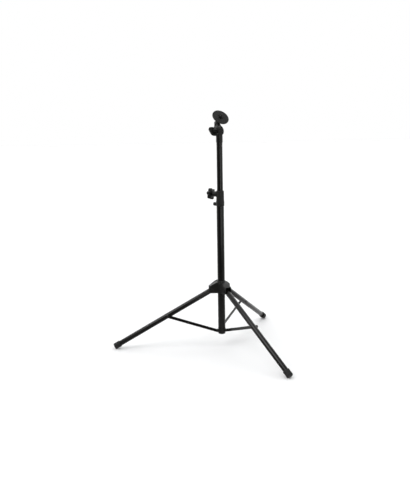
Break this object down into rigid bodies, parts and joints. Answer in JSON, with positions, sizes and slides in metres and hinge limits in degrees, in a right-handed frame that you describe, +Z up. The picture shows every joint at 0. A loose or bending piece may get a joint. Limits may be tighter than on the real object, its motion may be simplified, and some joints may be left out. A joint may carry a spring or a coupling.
{
  "type": "speaker tripod stand",
  "caption": "Folding tripod stand: two telescoping tubes, sliding hub, braced tubular legs with rubber feet, and a round tilting top plate with an upright threaded stud.",
  "frame": {"origin": "on the floor, under the axis of the column", "axes": "+Z up along the column; one leg points along -X, the other two lie 60 degrees either side of +X; the plate leans towards azimuth -62 degrees"},
  "size_m": [0.7968, 0.9156, 1.1221],
  "materials": {
    "tube_coat": "black powder coat, semi-gloss",
    "bracket_coat": "black powder coat, fine grain",
    "moulded_black": "moulded, fine matt grain",
    "knob_black": "moulded, smooth satin",
    "rubber_black": "matt",
    "black_steel": "blackened",
    "stud_steel": "zinc plated, dulled",
    "nylon_black": "smooth"
  },
  "bodies": {
    "column": {"lower_tube": "tube_coat", "column_foot": "moulded_black", "brace_foot_screws": "black_steel", "collar": "moulded_black", "collar_bushing": "nylon_black", "collar_screw": "black_steel"},
    "collar_clamp": {"star_knob": "knob_black", "star_stud": "black_steel", "star_clamp_pad": "nylon_black"},
    "mast": {"upper_tube": "tube_coat", "upper_tube_bush": "nylon_black", "tilt_post": "bracket_coat", "post_grub_screw": "black_steel", "tilt_bolt": "black_steel", "tilt_washer": "black_steel"},
    "head": {"tilt_fork": "bracket_coat", "mount_plate": "bracket_coat", "plate_pad": "rubber_black", "mount_bolt": "stud_steel", "mount_bolt_washer": "black_steel", "plate_nut": "black_steel"},
    "head_clamp": {"tilt_wing_knob": "knob_black"},
    "slider": {"hub": "bracket_coat", "hub_liner": "nylon_black", "hub_pivot_bolts": "black_steel", "hub_pivot_nuts": "black_steel"},
    "slider_clamp": {"hub_wing_knob": "knob_black", "hub_clamp_screw": "black_steel", "hub_clamp_pad": "nylon_black"},
    "left_leg": {"leg_tube_left": "tube_coat", "leg_plug_left": "nylon_black", "foot_cap_left": "rubber_black", "leg_bolt_left": "black_steel", "leg_spacer_left": "nylon_black"},
    "left_stay": {"brace_left": "tube_coat", "brace_pin_left": "black_steel"},
    "front_leg": {"leg_tube_front": "tube_coat", "leg_plug_front": "nylon_black", "foot_cap_front": "rubber_black", "leg_bolt_front": "black_steel", "leg_spacer_front": "nylon_black"},
    "front_stay": {"brace_front": "tube_coat", "brace_pin_front": "black_steel"},
    "rear_leg": {"leg_tube_rear": "tube_coat", "leg_plug_rear": "nylon_black", "foot_cap_rear": "rubber_black", "leg_bolt_rear": "black_steel", "leg_spacer_rear": "nylon_black"},
    "rear_stay": {"brace_rear": "tube_coat", "brace_pin_rear": "black_steel"}
  },
  "joints": [
    {"name": "mast_slide", "type": "slide", "parent": "column", "child": "mast", "axis": [0, 0, 1], "range_m": [-0.22, 0.265]},
    {"name": "head_tilt", "type": "hinge", "parent": "mast", "child": "head", "pos_m": [0, 0, 1.0275], "axis": [0.8829, 0.4695, 0], "range_deg": [-48.8, 41.2]},
    {"name": "head_knob_turn", "type": "hinge", "parent": "mast", "child": "head_clamp", "pos_m": [0, 0, 1.0275], "axis": [-0.8829, -0.4695, 0], "range_deg": [0, 360]},
    {"name": "collar_knob_turn", "type": "hinge", "parent": "column", "child": "collar_clamp", "pos_m": [0, 0, 0.738], "axis": [-0.809, 0.5878, 0], "range_deg": [0, 360]},
    {"name": "hub_slide", "type": "slide", "parent": "column", "child": "slider", "axis": [0, 0, 1], "range_m": [0, 0.2954]},
    {"name": "hub_knob_turn", "type": "hinge", "parent": "slider", "child": "slider_clamp", "pos_m": [0, 0, 0.3], "axis": [-0.5, 0.866, 0], "range_deg": [0, 360]},
    {"name": "left_leg_fold", "type": "hinge", "parent": "slider", "child": "left_leg", "pos_m": [-0.045, 0, 0.281], "axis": [0, -1, 0], "range_deg": [0, 60.26]},
    {"name": "left_stay_fold", "type": "hinge", "parent": "column", "child": "left_stay", "pos_m": [-0.0215, 0, 0.0808], "axis": [0, 1, 0], "range_deg": [0, 66.49]},
    {"name": "front_leg_fold", "type": "hinge", "parent": "slider", "child": "front_leg", "pos_m": [0.0225, -0.03897, 0.281], "axis": [0.866, 0.5, 0], "range_deg": [0, 60.26]},
    {"name": "front_stay_fold", "type": "hinge", "parent": "column", "child": "front_stay", "pos_m": [0.01075, -0.01862, 0.0808], "axis": [-0.866, -0.5, 0], "range_deg": [0, 66.49]},
    {"name": "rear_leg_fold", "type": "hinge", "parent": "slider", "child": "rear_leg", "pos_m": [0.0225, 0.03897, 0.281], "axis": [-0.866, 0.5, 0], "range_deg": [0, 60.26]},
    {"name": "rear_stay_fold", "type": "hinge", "parent": "column", "child": "rear_stay", "pos_m": [0.01075, 0.01862, 0.0808], "axis": [0.866, -0.5, 0], "range_deg": [0, 66.49]}
  ],
  "couplings": [
    {"joint": "left_leg_fold", "follows": "hub_slide", "rad_per_m": 3.5601},
    {"joint": "left_stay_fold", "follows": "hub_slide", "rad_per_m": 3.9281},
    {"joint": "front_leg_fold", "follows": "hub_slide", "rad_per_m": 3.5601},
    {"joint": "front_stay_fold", "follows": "hub_slide", "rad_per_m": 3.9281},
    {"joint": "rear_leg_fold", "follows": "hub_slide", "rad_per_m": 3.5601},
    {"joint": "rear_stay_fold", "follows": "hub_slide", "rad_per_m": 3.9281}
  ]
}
